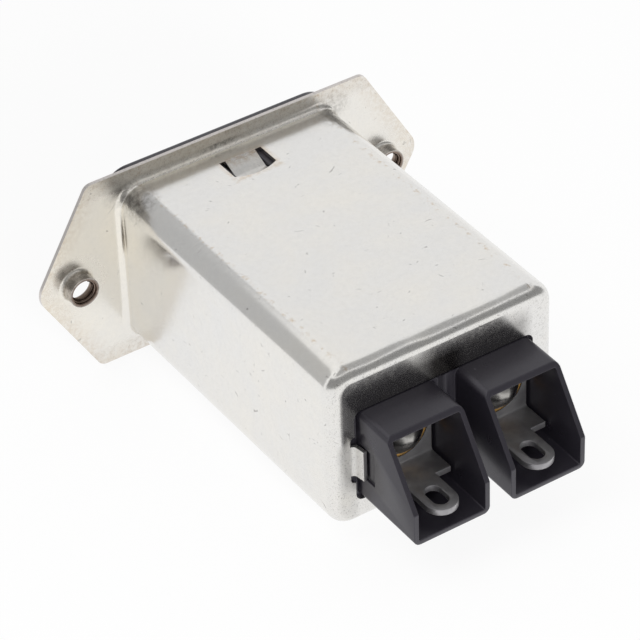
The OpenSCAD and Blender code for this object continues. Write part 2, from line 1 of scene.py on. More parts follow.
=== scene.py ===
"""Looks of a panel power inlet: a drawn, plated can with hooded solder lugs behind and a socket in front.

Laid out as an add-on and run as a script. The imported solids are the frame. The pieces made here round the
moulded edges, cut the threads and flow the solder. Every surface gets its finish, and a stage shows it all.
"""
import json
import math

import bmesh
import bpy
from bpy.props import FloatProperty, FloatVectorProperty, IntProperty, PointerProperty
from bpy.types import Operator, Panel, PropertyGroup
from mathutils import Matrix, Vector


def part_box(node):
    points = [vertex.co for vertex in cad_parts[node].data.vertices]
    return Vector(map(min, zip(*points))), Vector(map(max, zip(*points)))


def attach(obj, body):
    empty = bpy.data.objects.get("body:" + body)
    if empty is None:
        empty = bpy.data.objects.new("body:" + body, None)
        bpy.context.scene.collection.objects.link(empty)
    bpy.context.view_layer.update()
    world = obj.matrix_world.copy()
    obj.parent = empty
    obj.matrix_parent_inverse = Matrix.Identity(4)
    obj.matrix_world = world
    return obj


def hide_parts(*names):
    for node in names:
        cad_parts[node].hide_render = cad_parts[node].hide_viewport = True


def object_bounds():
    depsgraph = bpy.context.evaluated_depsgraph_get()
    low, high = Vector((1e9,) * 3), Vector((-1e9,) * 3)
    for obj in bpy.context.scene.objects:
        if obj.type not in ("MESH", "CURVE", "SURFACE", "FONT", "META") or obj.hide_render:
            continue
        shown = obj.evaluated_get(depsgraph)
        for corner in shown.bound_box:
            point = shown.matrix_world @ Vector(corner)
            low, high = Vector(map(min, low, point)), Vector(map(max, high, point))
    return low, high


bl_info = {
    "name": "Panel power inlet",
    "version": (1, 0, 0),
    "blender": (4, 5, 0),
    "location": "3D View > Sidebar > Power inlet",
    "description": "Finishes a panel power inlet with a line filter and sets it on a studio stage",
    "category": "Object",
}

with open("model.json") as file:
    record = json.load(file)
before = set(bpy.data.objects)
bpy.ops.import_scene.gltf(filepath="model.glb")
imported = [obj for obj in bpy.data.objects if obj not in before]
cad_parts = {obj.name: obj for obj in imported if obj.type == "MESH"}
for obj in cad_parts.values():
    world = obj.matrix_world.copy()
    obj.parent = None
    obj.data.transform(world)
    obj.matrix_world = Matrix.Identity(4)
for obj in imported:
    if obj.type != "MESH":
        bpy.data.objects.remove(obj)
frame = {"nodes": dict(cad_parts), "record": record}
cad_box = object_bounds()

MM = 0.001
SIDES = {"line": 1, "neutral": -1}
SCREWS = next(mount["dims"] for mount in frame["record"]["mounts"] if mount["name"] == "panel_screws")

# Meshes: points nearer than this are one, and edges count as flat below one angle and as sharp above another
MERGE = 0.0005 * MM
FLAT_ANGLE = math.radians(0.4)
SHARP_ANGLE = math.radians(32)
SPIN_STEPS = 64

# Thread: half its ridge as a share of the pitch, and how deep the ridge's root sits in the collar
THREAD_HALF = 0.44
THREAD_ROOT = 0.02 * MM

# Flowed solder in section, as shares of its foot's radius and of its height: a full slope with a blunt point
SOLDER_RISE = (
    (0, 0), (1, 0), (0.9, 0.17), (0.78, 0.34), (0.64, 0.52), (0.5, 0.68), (0.36, 0.82), (0.22, 0.92),
    (0.1, 0.98), (0, 1))
# Inner radius of the flux, under the solder, as a share of the foot's radius
FLUX_INNER = 0.9

# Landmarks of the can in millimetres, by which the wear of its plating, its painted shade and its painted
# reflections are placed
HOLE_X = SCREWS["spacing_x_mm"] / 2
FLANGE_TOP = cad_box[1].z / MM
CAN_TOP = 10.05
CAN_REAR = 40.25
CAN_CORNER = (13.6, 2.2, 9.4)
TOP_BEND_X = 11.5
# Slanted edge of an ear: the way it faces, and how far out it lies
EAR_NORMAL = (0.867, 0, 0.498)
EAR_REACH = 21.5
# Lanced slots, painted shade round the hoods, and rub mark: their middles and half sizes
SLOTS_MIDDLE = (0, 4.2, 0)
SLOTS_HALF = (2.65, 1.9, 0)
REAR_SHADE_X = 0.9
RUB_MIDDLE = (1.2, 0, 10.7)
RUB_HALF = (3.2, 2, 0.35)
# Way up the flange and towards the line side, along which it has yellowed
YELLOWED_WAY = (1, 0, 1.5)

# Noises in the plating: size in millimetres, detail and roughness
PLATING_NOISE = {
    "waves": (7, 2, 0.5),
    "grain": (0.5, 3, 0.5),
    "pits": (0.16, 2, 0.5),
    "blotches": (9, 5, 0.65),
    "mottles": (0.6, 5, 0.7),
    "drift": (4, 1, 0.5),
    "stretches": (0.9, 0, 0.5),
    "dents": (6, 0, 0.5),
}
# Cells whose edges are scratches and whose hearts are specks, and how far they wander, in millimetres
SCRATCH_CELL = 5
SCRATCH_DRIFT = (5, 5, 5)
SPECK_CELL = 1.7
SPECK_DRIFT = (0.7, 0.7, 0.7)
# Drawing marks along the can, in millimetres: width, length and width
STREAK = (0.3, 12, 0.3)
# Share of the tarnish's colour in a scratch
SCRATCH_SHADE = 0.7

# Grey screens that only mirrors see: azimuths and elevations in degrees, distance in metres, and brightness
SCREENS = {
    "front_screen": ((-85, -22), (8, 60), 0.6, 0.93),
    "side_screen": ((-14, 75), (-12, 52), 0.13, 0.54),
    "rear_screen": ((90, 262), (-2, 44), 0.6, 0.29),
    "roof_screen": ((120, 330), (53, 89), 0.6, 0.42),
}
SCREEN_STEPS = 24
# Soft lamps: azimuth and elevation in degrees, and diameter in metres
LAMPS = {"key": (80, 60, 0.5), "fill": (172, 18, 0.22)}
LAMP_DISTANCE = 0.7
FLOOR_RADIUS = 2
FLOOR_SIDES = 96
FLOOR_GAP = 0.02 * MM
FLOOR_ALBEDO = 0.8
SENSOR_WIDTH = 36
CLIP = (0.01, 10)


def linear(code):
    """Linear RGB of an sRGB hex value such as 0xe3dfd8."""
    parts = [(code >> shift & 255) / 255 for shift in (16, 8, 0)]
    return [p / 12.92 if p <= 0.04045 else ((p + 0.055) / 1.055) ** 2.4 for p in parts]


def colour(name, description, code):
    """Colour property with an sRGB hex value as its default."""
    return FloatVectorProperty(
        name=name, description=description, subtype="COLOR", min=0, max=1, default=linear(code))


def length(name, description, millimetres):
    """Length property with its default given in millimetres."""
    return FloatProperty(
        name=name, description=description, subtype="DISTANCE", unit="LENGTH", min=0, precision=5,
        default=millimetres * MM)


def angle(name, description, degrees):
    """Angle property with its default given in degrees."""
    return FloatProperty(
        name=name, description=description, subtype="ANGLE", unit="ROTATION", default=math.radians(degrees))


def share(name, description, value):
    """Plain number that is not a length or an angle."""
    return FloatProperty(name=name, description=description, min=0, default=value)


class InletShape(PropertyGroup):
    """Small forms that the finish adds to the solids."""

    hood_round: length("Hood rounding", "Rounding of the hoods' moulded edges", 0.1)
    bezel_round: length("Socket rounding", "Rounding of the socket moulding's edges", 0.12)
    lug_round: length("Lug rounding", "Rounding of the lugs' stamped edges", 0.07)
    round_segments: IntProperty(
        name="Rounding segments", description="Faces across a rounded edge", min=1, max=6, default=3)
    thread_pitch: length("Thread pitch", "Distance between two turns of the screw thread", 0.5)
    thread_depth: length("Thread depth", "Height of the thread's ridge over the bore", 0.27)
    thread_start: length("Thread start", "Distance from the flange's rear face to the thread", 0.38)
    thread_length: length("Thread length", "Depth of the thread in a collar", 1.28)
    thread_steps: IntProperty(
        name="Thread steps", description="Steps in one turn of the thread", min=12, max=96, default=48)
    flux_width: length("Flux width", "Width of the amber flux left round a solder joint", 0.45)
    flux_height: length("Flux height", "Height of the flux on the lug", 0.14)


class InletFinish(PropertyGroup):
    """Colours of the finishes."""

    nickel: colour("Nickel", "Bright nickel plating", 0xE8E7E5)
    nickel_warm: colour("Warm nickel", "Thin, yellowed plating, mostly on the flange", 0xF2EDE2)
    stain: colour("Stain", "Brown stain along the flange's edges and round the lanced slots", 0xC7AC88)
    # This colour is also painted at the can's upper corners as a dark reflection
    tarnish: colour("Tarnish", "Grey tarnish on the collars, in pits and in scratches", 0x66615D)
    # Painted shade: a dark colour for the rear face round the hoods, where their reflections and shadow fall
    rear_shade: colour("Film", "Dark film on the rear face round the hoods", 0x565250)
    rust: colour("Rust", "Brown film in the threads, and spots on the flange", 0x6E5747)
    cut_edge: colour("Cut edge", "Sheared edge of the sheet, with torn plating", 0xD6D1CE)
    plastic: colour("Plastic", "Black moulded plastic", 0x211F25)
    dust: colour("Dust", "Pale dust on the plastic", 0x77757A)
    tin: colour("Tin", "Dull tin on the lugs", 0xBBBABB)
    tin_dull: colour("Dull tin", "Darker patches on the tin", 0x99979A)
    flux: colour("Flux", "Amber flux round the solder", 0xB58B45)
    solder: colour("Solder", "Bright solder", 0xBAB8B4)
    contact: colour("Contact", "Nickel plated contact metal", 0xCDC8BE)
    ferrite: colour("Ferrite", "Core of the choke", 0x3A393B)
    copper: colour("Copper", "Enamelled windings of the choke", 0xC07A45)
    pressboard: colour("Pressboard", "Sleeve that lines the can", 0xCBC3AF)
    case: colour("Case", "Moulded case of the X capacitor", 0xBFC1C3)
    blue_lacquer: colour("Blue lacquer", "Dipped coating of the Y capacitors", 0x3F70AE)
    buff_lacquer: colour("Buff lacquer", "Dipped coating of the bleed resistor", 0xCBB78E)
    brown_sheath: colour("Brown sheath", "Sheath of the line wires", 0x6B4022)
    blue_sheath: colour("Blue sheath", "Sheath of the neutral wires", 0x2E599E)


class InletStage(PropertyGroup):
    """Camera, lamps and background."""

    azimuth: angle("Azimuth", "Direction of the camera round the inlet", 147.5)
    elevation: angle("Elevation", "Height of the camera above the horizon", 37.95)
    roll: angle("Roll", "Turn of the camera about its own axis", -2.27)
    distance: length("Distance", "Distance from the camera to its target", 368.6)
    lens: FloatProperty(
        name="Lens", description="Focal length in millimetres", subtype="DISTANCE_CAMERA", default=196.1)
    target: FloatVectorProperty(
        name="Target", description="Point that the camera looks at", subtype="XYZ", unit="LENGTH",
        precision=5, default=(2.65 * MM, 21.24 * MM, 0.62 * MM))
    background: share("Background", "Strength of the white surroundings", 1.0)
    ambient: share("Ambient", "Strength of the surroundings on matt surfaces", 0.55)
    floor_shade: share("Floor shade", "Share of the floor's white that its shadows can take", 0.12)
    key_power: share("Key lamp", "Power of the large soft lamp in watts", 1.2)
    fill_power: share("Fill lamp", "Power of the lamp that shines into the hoods, in watts", 3.0)


def node(tree, kind, inputs=None, **settings):
    """Adds a node, sets its settings, and gives each input its value or its link."""
    made = tree.nodes.new(kind)
    for name, value in settings.items():
        setattr(made, name, value)
    for key, value in (inputs or {}).items():
        if isinstance(value, bpy.types.NodeSocket):
            tree.links.new(value, made.inputs[key])
        else:
            made.inputs[key].default_value = value
    return made


def rgba(value, strength=1):
    """Opaque colour of three linear parts, darkened by a strength below 1."""
    return (*(strength * part for part in value), 1)


def bare_material(name):
    """Material with an empty node tree."""
    material = bpy.data.materials.new(name)
    material.use_nodes = True
    material.node_tree.nodes.clear()
    return material, material.node_tree


def new_material(name):
    """Material with an empty node tree, and the object's coordinates in millimetres."""
    material, tree = bare_material(name)
    coords = node(tree, "ShaderNodeTexCoord")
    scaled = node(
        tree, "ShaderNodeVectorMath", {0: coords.outputs["Object"], "Scale": 1 / MM}, operation="SCALE")
    return material, tree, scaled.outputs["Vector"]


def finish_material(tree, **inputs):
    """Ends a tree in a Principled shader; an underscore stands for a space in a socket's name."""
    named = {key.replace("_", " "): value for key, value in inputs.items()}
    shader = node(tree, "ShaderNodeBsdfPrincipled", named)
    node(tree, "ShaderNodeOutputMaterial", {"Surface": shader.outputs["BSDF"]})


def can_places(tree, mm):
    """Sockets that say where a point of the can lies, mostly in millimetres from a landmark."""
    away = node(tree, "ShaderNodeVectorMath", {0: mm}, operation="ABSOLUTE").outputs["Vector"]
    at = node(tree, "ShaderNodeSeparateXYZ", {0: mm}).outputs
    out = node(tree, "ShaderNodeSeparateXYZ", {0: away}).outputs
    place = {"x": at["X"], "y": at["Y"], "z": at["Z"], "out_x": out["X"], "out_z": out["Z"]}

    # Past the flange's outline, its long edge or the ear's slanted edge: below zero on the flange
    ear = node(tree, "ShaderNodeVectorMath", {0: away, 1: EAR_NORMAL}, operation="DOT_PRODUCT")
    past_ear = node(tree, "ShaderNodeMath", {0: ear.outputs["Value"], 1: EAR_REACH}, operation="SUBTRACT")
    past_top = node(tree, "ShaderNodeMath", {0: out["Z"], 1: FLANGE_TOP}, operation="SUBTRACT")
    edge = node(
        tree, "ShaderNodeMath", {0: past_ear.outputs[0], 1: past_top.outputs[0]}, operation="MAXIMUM")
    place["edge"] = edge.outputs[0]

    # From the nearer screw axis, and from the corner where the can meets the flange
    across = node(
        tree, "ShaderNodeVectorMath", {0: away, 1: (1, 0, 1), 2: (-HOLE_X, 0, 0)}, operation="MULTIPLY_ADD")
    screw = node(tree, "ShaderNodeVectorMath", {0: across.outputs["Vector"]}, operation="LENGTH")
    place["screw"] = screw.outputs["Value"]
    corner = node(tree, "ShaderNodeVectorMath", {0: away, 1: CAN_CORNER}, operation="DISTANCE")
    place["corner"] = corner.outputs["Value"]

    # Past the rectangle that the lanced slots fill
    from_slots = node(tree, "ShaderNodeVectorMath", {0: mm, 1: SLOTS_MIDDLE}, operation="SUBTRACT")
    off_slots = node(tree, "ShaderNodeVectorMath", {0: from_slots.outputs["Vector"]}, operation="ABSOLUTE")
    past_slots = node(
        tree, "ShaderNodeVectorMath", {0: off_slots.outputs["Vector"], 1: SLOTS_HALF}, operation="SUBTRACT")
    past = node(tree, "ShaderNodeSeparateXYZ", {0: past_slots.outputs["Vector"]}).outputs
    slots = node(tree, "ShaderNodeMath", {0: past["X"], 1: past["Y"]}, operation="MAXIMUM")
    place["slots"] = slots.outputs[0]

    # From the lines where the can's top starts to bend, and from the middle of the painted shade round the
    # hoods
    for name, value, middle in (("top_bend", out["X"], TOP_BEND_X), ("rear_shade", at["X"], REAR_SHADE_X)):
        off = node(tree, "ShaderNodeMath", {0: value, 1: middle}, operation="SUBTRACT")
        place[name] = node(tree, "ShaderNodeMath", {0: off.outputs[0]}, operation="ABSOLUTE").outputs[0]

    # From the middle of the rub mark, as a share of its half size, and up the flange along its yellowed way
    rub = node(
        tree, "ShaderNodeMapping", {"Vector": mm, "Location": RUB_MIDDLE, "Scale": RUB_HALF},
        vector_type="TEXTURE")
    off_rub = node(tree, "ShaderNodeVectorMath", {0: rub.outputs["Vector"]}, operation="LENGTH")
    place["rub"] = off_rub.outputs["Value"]
    yellowed = node(tree, "ShaderNodeVectorMath", {0: mm, 1: YELLOWED_WAY}, operation="DOT_PRODUCT")
    place["yellowed"] = yellowed.outputs["Value"]

    # How squarely a face looks along Y
    face = node(tree, "ShaderNodeNewGeometry")
    turned = node(tree, "ShaderNodeVectorMath", {0: face.outputs["True Normal"]}, operation="ABSOLUTE")
    place["looks_y"] = node(tree, "ShaderNodeSeparateXYZ", {0: turned.outputs["Vector"]}).outputs["Y"]
    return place


def plating_wear(tree, mm):
    """Noises of the plating, and masks that say where each kind of wear, painted shade and painted
    reflection is.
    """
    place = can_places(tree, mm)
    noise = {}
    for name, (size, detail, roughness) in PLATING_NOISE.items():
        noise[name] = node(
            tree, "ShaderNodeTexNoise",
            {"Vector": mm, "Scale": 1 / size, "Detail": detail, "Roughness": roughness}).outputs
    mottles = noise["mottles"]["Fac"]

    # Hairline scratches are edges of wandering cells, and grey specks are the hearts of a few smaller ones
    bent = node(
        tree, "ShaderNodeVectorMath", {0: noise["drift"]["Color"], 1: SCRATCH_DRIFT, 2: mm},
        operation="MULTIPLY_ADD").outputs["Vector"]
    cells = node(
        tree, "ShaderNodeTexVoronoi", {"Vector": bent, "Scale": 1 / SCRATCH_CELL},
        feature="DISTANCE_TO_EDGE")
    strewn = node(
        tree, "ShaderNodeVectorMath", {0: noise["grain"]["Color"], 1: SPECK_DRIFT, 2: bent},
        operation="MULTIPLY_ADD")
    seeds = node(tree, "ShaderNodeTexVoronoi", {"Vector": strewn.outputs["Vector"], "Scale": 1 / SPECK_CELL})
    seed = node(tree, "ShaderNodeSeparateColor", {0: seeds.outputs["Color"]})

    # Ramps: what each one reads, where it starts and ends, and its strength at both
    ramps = {
        # Scratches in short stretches, specks and pits
        "hairline": (cells.outputs["Distance"], 0, 0.007, 1, 0),
        "stretches": (noise["stretches"]["Fac"], 0.69, 0.75, 0, 1),
        "hearts": (seeds.outputs["Distance"], 0.03, 0.12, 0.5, 0),
        "pinholes": (noise["pits"]["Fac"], 0.55, 0.68, 0, 1),
        # Mottles and blotches, each as strong as the wear that it breaks up
        "patchy": (mottles, 0.34, 0.74, 0, 0.45),
        "mottled": (mottles, 0.38, 0.62, 0.15, 1),
        "dull": (mottles, 0.35, 0.65, 0, 0.14),
        "rubbed": (mottles, 0.52, 0.66, 0, 1),
        "spotted": (mottles, 0.52, 0.7, 0, 0.16),
        "faint": (mottles, 0.4, 0.75, 0, 0.045),
        "blotched": (noise["blotches"]["Fac"], 0.4, 0.7, 0, 0.4),
        # Flange, with its strip above the can
        "flange": (place["y"], 0.9, 0.3, 0, 1),
        "near_edge": (place["edge"], -2.4, 0, 0, 1),
        "above_can": (place["out_z"], CAN_TOP - 0.45, CAN_TOP + 0.35, 0, 1),
        "on_rub": (place["rub"], 1, 0.3, 0, 0.8),
        "yellowed": (place["yellowed"], 6, 18, 0.3, 0.7),
        # Collars, older on the line side, and the flange round them, which was drawn with them
        "collar": (place["screw"], 2.9, 2.1, 0, 1),
        "raised": (place["y"], 0.02, 0.2, 0, 1),
        "one_side": (place["x"], -1, 1, 0.3, 0.6),
        "bore": (place["screw"], 1.9, 1.6, 0, 0.85),
        "drawn": (place["screw"], 5, 3, 0, 1),
        # Upper corners where the can meets the flange, where a dark reflection is painted
        "corner": (place["corner"], 3.4, 0.8, 0, 0.8),
        "upper": (place["z"], 7, 9, 0, 1),
        # Lanced strip under the can's top, torn plating round its slots, and the top's bends
        "strip_width": (place["out_x"], 2, 1.85, 0, 1),
        "sunk": (place["out_z"], CAN_TOP - 0.05, CAN_TOP - 0.35, 0, 1),
        "torn": (place["slots"], 0.6, 0, 0, 1.6),
        "skin": (place["out_z"], CAN_TOP - 0.55, CAN_TOP - 0.15, 0, 1),
        "on_bend": (place["top_bend"], 0.45, 0.1, 0, 0.5),
        # Rear face and its bent edge
        "rear": (place["y"], CAN_REAR - 1.65, CAN_REAR - 0.25, 0, 1),
        "flat_rear": (place["y"], CAN_REAR - 0.35, CAN_REAR - 0.05, 0, 1),
        "bend_start": (place["y"], CAN_REAR - 2.25, CAN_REAR - 1.35, 0, 1),
        "bend_end": (place["y"], CAN_REAR - 0.05, CAN_REAR - 0.35, 0, 1),
        # Painted shade on the rear face round the hoods, darkest between them, where the hoods' reflections
        # and shadow fall; and scuffs where the tabs were turned out
        "beside": (place["rear_shade"], 12.1, 10.7, 0, 1),
        "over": (place["z"], 8.6, 6.6, 0, 1),
        "under": (place["z"], 0.8, 2.2, 0, 1),
        "between": (place["out_x"], 2.8, 1.2, 0.5, 0.95),
        "outer": (place["out_x"], 10.6, 11.2, 0, 1),
        "low_down": (place["z"], 1.4, 0.2, 0, 1),
    }
    mask = {}
    for name, (value, start, end, first, last) in ramps.items():
        mask[name] = node(
            tree, "ShaderNodeMapRange",
            {"Value": value, "From Min": start, "From Max": end, "To Min": first, "To Max": last}).outputs[0]

    # Limits: what each one reads, and on which side of a value it holds
    limits = {
        "chosen": (seed.outputs["Red"], "GREATER_THAN", 0.72),
        "rim": (place["edge"], "GREATER_THAN", -1.6),
        "front": (place["y"], "LESS_THAN", 0.02),
        "sideways": (place["looks_y"], "LESS_THAN", 0.4),
        "strip_length": (place["y"], "LESS_THAN", 6.2),
    }
    for name, (value, test, limit) in limits.items():
        mask[name] = node(tree, "ShaderNodeMath", {0: value, 1: limit}, operation=test).outputs[0]

    # Kinds of wear, painted shade and painted reflection: each one lies where all of its masks do
    wear = {
        "scratches": ("hairline", "stretches"),
        "specks": ("hearts", "chosen"),
        "stain": ("near_edge", "patchy", "flange"),
        "sheared": ("rim", "front", "sideways"),
        "strip": ("above_can", "flange"),
        "spots": ("strip", "spotted"),
        "rub_mark": ("on_rub", "mottled"),
        "collar_wall": ("collar", "one_side", "raised"),
        "tarnish": ("collar_wall", "mottled"),
        "satin": ("drawn", "flange"),
        # Painted reflection: mottled dark tarnish colour at the can's upper corners by the flange
        "painted_corner_reflection": ("corner", "upper", "mottled"),
        "lance": ("strip_width", "sunk", "strip_length"),
        "lance_dull": ("lance", "dull"),
        "halo": ("torn", "skin", "patchy"),
        "edge_wear": ("on_bend", "skin", "rubbed"),
        # Painted shade: the rear face darkened round the hoods, most between them
        "rear_shade": ("beside", "over", "under", "flat_rear", "between"),
        "scuffs": ("outer", "low_down", "flat_rear"),
        "hard_bend": ("bend_start", "bend_end"),
    }
    for name, (first, *others) in wear.items():
        mask[name] = mask[first]
        for other in others:
            mask[name] = node(
                tree, "ShaderNodeMath", {0: mask[name], 1: mask[other]}, operation="MULTIPLY").outputs[0]

    # Pits show most on the rear face, on the strip above the can and on the collars
    worn = mask["rear"]
    for name in ("strip", "collar_wall"):
        worn = node(tree, "ShaderNodeMath", {0: worn, 1: mask[name]}, operation="MAXIMUM").outputs[0]
    pitted = node(tree, "ShaderNodeMapRange", {"Value": worn, "To Min": 0.05, "To Max": 0.24})
    mask["pitted"] = pitted.outputs[0]
    pits = node(tree, "ShaderNodeMath", {0: mask["pinholes"], 1: mask["pitted"]}, operation="MULTIPLY")
    mask["pits"] = pits.outputs[0]
    warm = node(
        tree, "ShaderNodeMath", {0: mask["flange"], 1: mask["yellowed"], 2: mask["blotched"]},
        operation="MULTIPLY_ADD")
    mask["warm"] = warm.outputs[0]
    shaded = node(tree, "ShaderNodeMath", {0: mask["scratches"], 1: SCRATCH_SHADE}, operation="MULTIPLY")
    mask["scratch_shade"] = shaded.outputs[0]
    return noise, mask


def plated_steel(finish):
    """Deep drawn steel with bright nickel plating."""
    # To the eye it is a soft mirror, wavy and scratched, tarnished at its collars and yellowed on its
    # flange; a dark reflection is painted at its upper corners, and shade on its rear face round the hoods
    material, tree, mm = new_material("nickel_plated_steel")
    noise, mask = plating_wear(tree, mm)

    # Colours, laid one over the other
    layers = (
        ("warm", finish.nickel_warm), ("faint", finish.tarnish), ("stain", finish.stain),
        ("halo", finish.stain), ("edge_wear", finish.stain), ("spots", finish.rust),
        # Among these layers are a painted dark reflection at the can's upper corners and a painted shade on
        # the rear face round the hoods
        ("rub_mark", finish.tarnish), ("lance_dull", finish.tarnish), ("painted_corner_reflection", finish.tarnish),
        ("tarnish", finish.tarnish), ("rear_shade", finish.rear_shade), ("bore", finish.rust),
        ("sheared", finish.cut_edge), ("pits", finish.tarnish), ("specks", finish.tarnish),
        ("scratch_shade", finish.tarnish))
    surface = rgba(finish.nickel)
    for name, tone in layers:
        surface = node(
            tree, "ShaderNodeMix", {"Factor": mask[name], "A": surface, "B": rgba(tone)},
            data_type="RGBA").outputs["Result"]

    # Roughness: the grain of the plating, and what each kind of wear adds to it
    roughness = node(
        tree, "ShaderNodeMapRange",
        {"Value": noise["grain"]["Fac"], "From Min": 0.3, "From Max": 0.7, "To Min": 0.16, "To Max": 0.22}
    ).outputs[0]
    added = {
        "painted_corner_reflection": 0.12, "tarnish": 0.2, "satin": 0.1, "strip": 0.15, "rear": 0.05, "scuffs": 0.35,
        "lance": 0.22, "sheared": 0.12, "pits": 0.3}
    for name, amount in added.items():
        roughness = node(
            tree, "ShaderNodeMath", {0: mask[name], 1: amount, 2: roughness},
            operation="MULTIPLY_ADD").outputs[0]

    # Relief, with its strength and its depth in millimetres: waves of the sheet, dents of the hard bent rear
    # edge, drawing marks along the can, pits, and scratches, which are cut in
    along = node(tree, "ShaderNodeMapping", {"Vector": mm, "Scale": [1 / size for size in STREAK]})
    streaks = node(tree, "ShaderNodeTexNoise", {"Vector": along.outputs["Vector"], "Scale": 1, "Detail": 2})
    reliefs = (
        (noise["waves"]["Fac"], 1, 0.03, False),
        (noise["dents"]["Fac"], mask["hard_bend"], 0.5, False),
        (streaks.outputs["Fac"], 1, 0.0015, False),
        (noise["mottles"]["Fac"], mask["pitted"], 0.008, False),
        (mask["scratches"], 1, 0.006, True))
    relief = {}
    for height, strength, depth, cut_in in reliefs:
        bump = node(
            tree, "ShaderNodeBump",
            {"Height": height, "Strength": strength, "Distance": depth * MM, **relief}, invert=cut_in)
        relief = {"Normal": bump.outputs["Normal"]}
    finish_material(tree, Base_Color=surface, Metallic=1.0, Roughness=roughness, **relief)
    return material


def black_plastic(finish):
    """Glass filled polyamide, injection moulded."""
    # To the eye it is satin black with a fine grain, clouded gloss and a little dust
    material, tree, mm = new_material("moulded_polyamide")

    # Grain of 0.2 mm, and clouds of gloss about 4 mm wide
    grain = node(tree, "ShaderNodeTexNoise", {"Vector": mm, "Scale": 1 / 0.2, "Detail": 2})
    cloud = node(tree, "ShaderNodeTexNoise", {"Vector": mm, "Scale": 1 / 4, "Detail": 3})
    rough = node(
        tree, "ShaderNodeMapRange", {"Value": cloud.outputs["Fac"], "To Min": 0.22, "To Max": 0.38})

    # Dust: hearts of a few cells some 1.5 mm wide that the clouds strew about
    strewn = node(
        tree, "ShaderNodeVectorMath", {0: cloud.outputs["Color"], 1: (9, 9, 9), 2: mm},
        operation="MULTIPLY_ADD")
    specks = node(tree, "ShaderNodeTexVoronoi", {"Vector": strewn.outputs["Vector"], "Scale": 1 / 1.5})
    small = node(
        tree, "ShaderNodeMapRange",
        {"Value": specks.outputs["Distance"], "From Min": 0.04, "From Max": 0.09, "To Min": 0.7,
         "To Max": 0})
    kind = node(tree, "ShaderNodeSeparateColor", {0: specks.outputs["Color"]})
    rare = node(tree, "ShaderNodeMath", {0: kind.outputs["Red"], 1: 0.88}, operation="GREATER_THAN")
    dust = node(
        tree, "ShaderNodeMath", {0: small.outputs["Result"], 1: rare.outputs[0]}, operation="MULTIPLY")
    base = node(
        tree, "ShaderNodeMix",
        {"Factor": dust.outputs[0], "A": rgba(finish.plastic), "B": rgba(finish.dust)}, data_type="RGBA")
    bump = node(tree, "ShaderNodeBump", {"Distance": 0.004 * MM, "Height": grain.outputs["Fac"]})
    finish_material(
        tree, Base_Color=base.outputs["Result"], Roughness=rough.outputs["Result"], IOR=1.64,
        Specular_Tint=(0.95, 0.93, 1, 1), Normal=bump.outputs["Normal"])
    return material


def tinned_brass(finish):
    """Stamped brass with dull tin plating."""
    # To the eye it is grey, patchy and softly shiny
    material, tree, mm = new_material("tinned_brass")

    # Patches about 2.5 mm wide, and a grain of 0.3 mm
    patches = node(tree, "ShaderNodeTexNoise", {"Vector": mm, "Scale": 1 / 2.5, "Detail": 4})
    blend = node(
        tree, "ShaderNodeMapRange", {"Value": patches.outputs["Fac"], "From Min": 0.35, "From Max": 0.65})
    base = node(
        tree, "ShaderNodeMix",
        {"Factor": blend.outputs["Result"], "A": rgba(finish.tin), "B": rgba(finish.tin_dull)},
        data_type="RGBA")
    rough = node(
        tree, "ShaderNodeMapRange", {"Value": patches.outputs["Fac"], "To Min": 0.36, "To Max": 0.5})
    grain = node(tree, "ShaderNodeTexNoise", {"Vector": mm, "Scale": 1 / 0.3, "Detail": 2})
    bump = node(tree, "ShaderNodeBump", {"Distance": 0.004 * MM, "Height": grain.outputs["Fac"]})
    finish_material(
        tree, Base_Color=base.outputs["Result"], Metallic=0.85, Roughness=rough.outputs["Result"],
        Normal=bump.outputs["Normal"])
    return material


def bright_metal(name, tone, roughness, wave_mm):
    """Smooth bright metal with gentle waves of a given length, darker and duller on their crests."""
    material, tree, mm = new_material(name)
    waves = node(tree, "ShaderNodeTexNoise", {"Vector": mm, "Scale": 1 / wave_mm, "Detail": 2})
    base = node(
        tree, "ShaderNodeMix",
        {"Factor": waves.outputs["Fac"], "A": rgba(tone), "B": rgba(tone, 0.85)}, data_type="RGBA")
    rough = node(
        tree, "ShaderNodeMapRange",
        {"Value": waves.outputs["Fac"], "To Min": roughness, "To Max": 1.6 * roughness})
    bump = node(tree, "ShaderNodeBump", {"Distance": 0.01 * wave_mm * MM, "Height": waves.outputs["Fac"]})
    finish_material(
        tree, Base_Color=base.outputs["Result"], Metallic=1.0, Roughness=rough.outputs["Result"],
        Normal=bump.outputs["Normal"])
    return material


def flux_resin(finish):
    """Rosin flux left by soldering."""
    # To the eye it is amber and glossy, and darker in pools about 0.8 mm wide
    material, tree, mm = new_material("rosin_flux")
    pools = node(tree, "ShaderNodeTexNoise", {"Vector": mm, "Scale": 1 / 0.8, "Detail": 2})
    base = node(
        tree, "ShaderNodeMix",
        {"Factor": pools.outputs["Fac"], "A": rgba(finish.flux), "B": rgba(finish.flux, 0.45)},
        data_type="RGBA")
    bump = node(tree, "ShaderNodeBump", {"Distance": 0.01 * MM, "Height": pools.outputs["Fac"]})
    finish_material(
        tree, Base_Color=base.outputs["Result"], Roughness=0.2, IOR=1.52, Normal=bump.outputs["Normal"])
    return material


def coated(name, tone, roughness, grain_mm, metallic=0.0):
    """Plain surface of a part inside the can: one colour, clouded by the grain of its coating."""
    material, tree, mm = new_material(name)
    grain = node(tree, "ShaderNodeTexNoise", {"Vector": mm, "Scale": 1 / grain_mm, "Detail": 3})
    base = node(
        tree, "ShaderNodeMix",
        {"Factor": grain.outputs["Fac"], "A": rgba(tone), "B": rgba(tone, 0.75)}, data_type="RGBA")
    bump = node(tree, "ShaderNodeBump", {"Distance": 0.02 * grain_mm * MM, "Height": grain.outputs["Fac"]})
    finish_material(
        tree, Base_Color=base.outputs["Result"], Metallic=metallic, Roughness=roughness,
        Normal=bump.outputs["Normal"])
    return material


